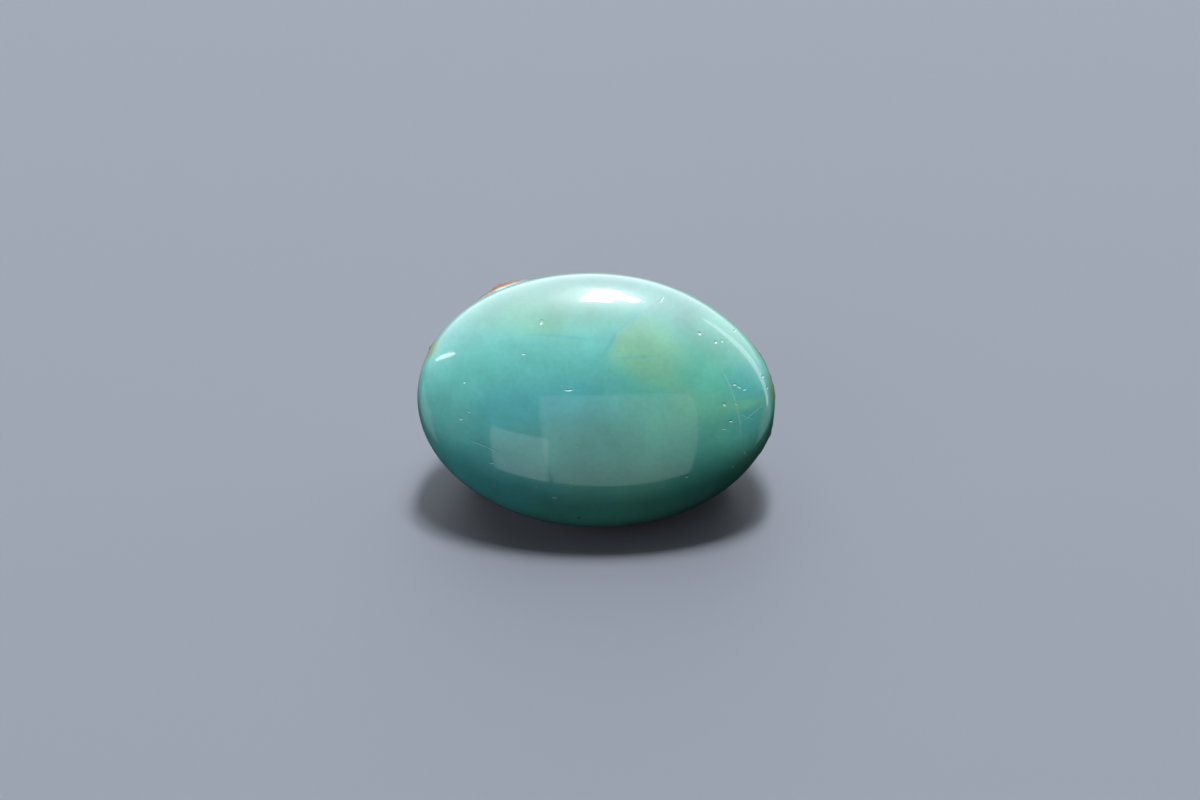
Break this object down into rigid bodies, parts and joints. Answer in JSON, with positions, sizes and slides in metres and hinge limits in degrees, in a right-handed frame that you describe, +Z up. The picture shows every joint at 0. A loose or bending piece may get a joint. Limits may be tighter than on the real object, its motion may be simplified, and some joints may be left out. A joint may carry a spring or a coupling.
{
  "type": "turquoise nugget",
  "caption": "Oval turquoise nugget with one polished domed face and a rough broken back, lying on its flat underside.",
  "frame": {"origin": "middle of the stone's bounding box, on the surface that it rests on", "axes": "+X along the oval's length, +Z up, the polished face towards -Y and 39 degrees above the horizon"},
  "size_m": [0.02, 0.0126, 0.0127],
  "materials": {
    "turquoise": "polished face, rough broken back"
  },
  "bodies": {
    "root": {"turquoise_nugget": "turquoise"}
  },
  "joints": []
}
